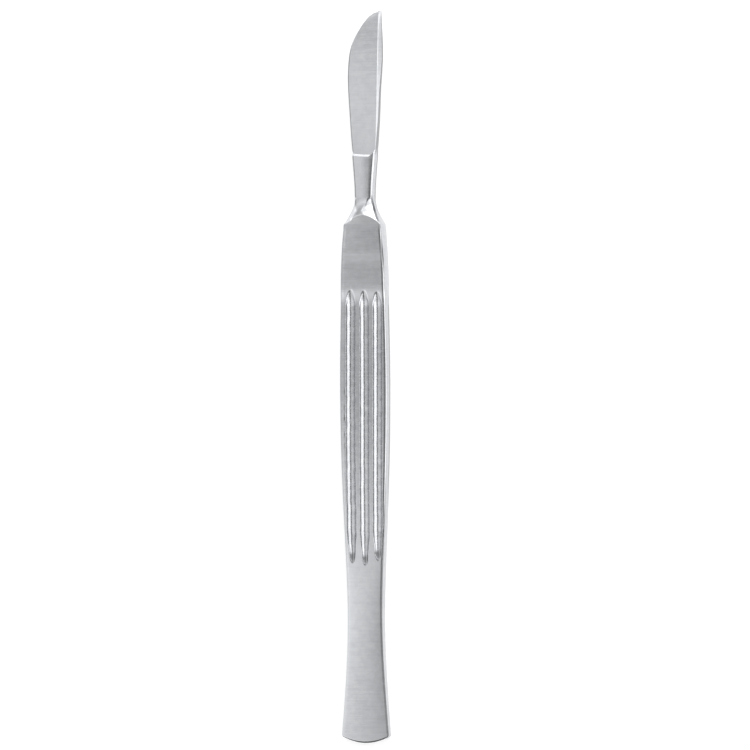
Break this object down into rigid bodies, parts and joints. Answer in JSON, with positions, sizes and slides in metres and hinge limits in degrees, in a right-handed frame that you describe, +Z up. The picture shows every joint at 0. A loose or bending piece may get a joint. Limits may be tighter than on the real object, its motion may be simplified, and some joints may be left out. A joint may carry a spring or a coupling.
{
  "type": "scalpel",
  "caption": "One-piece forged scalpel: bellied ground blade, short chamfered neck, scooped shoulder and flat fluted handle that thins towards a bowed end.",
  "frame": {"origin": "under the middle of the length and width, on the level back face that the scalpel lies on", "axes": "+Y along the scalpel towards the tip, +Z up through the thickness, cutting edge towards -X and back of the blade towards +X"},
  "size_m": [0.0108, 0.16, 0.0045],
  "materials": {
    "stainless_steel": "satin ground stainless steel, brighter in the flutes and scoops"
  },
  "bodies": {
    "root": {"scalpel": "stainless_steel"}
  },
  "joints": []
}
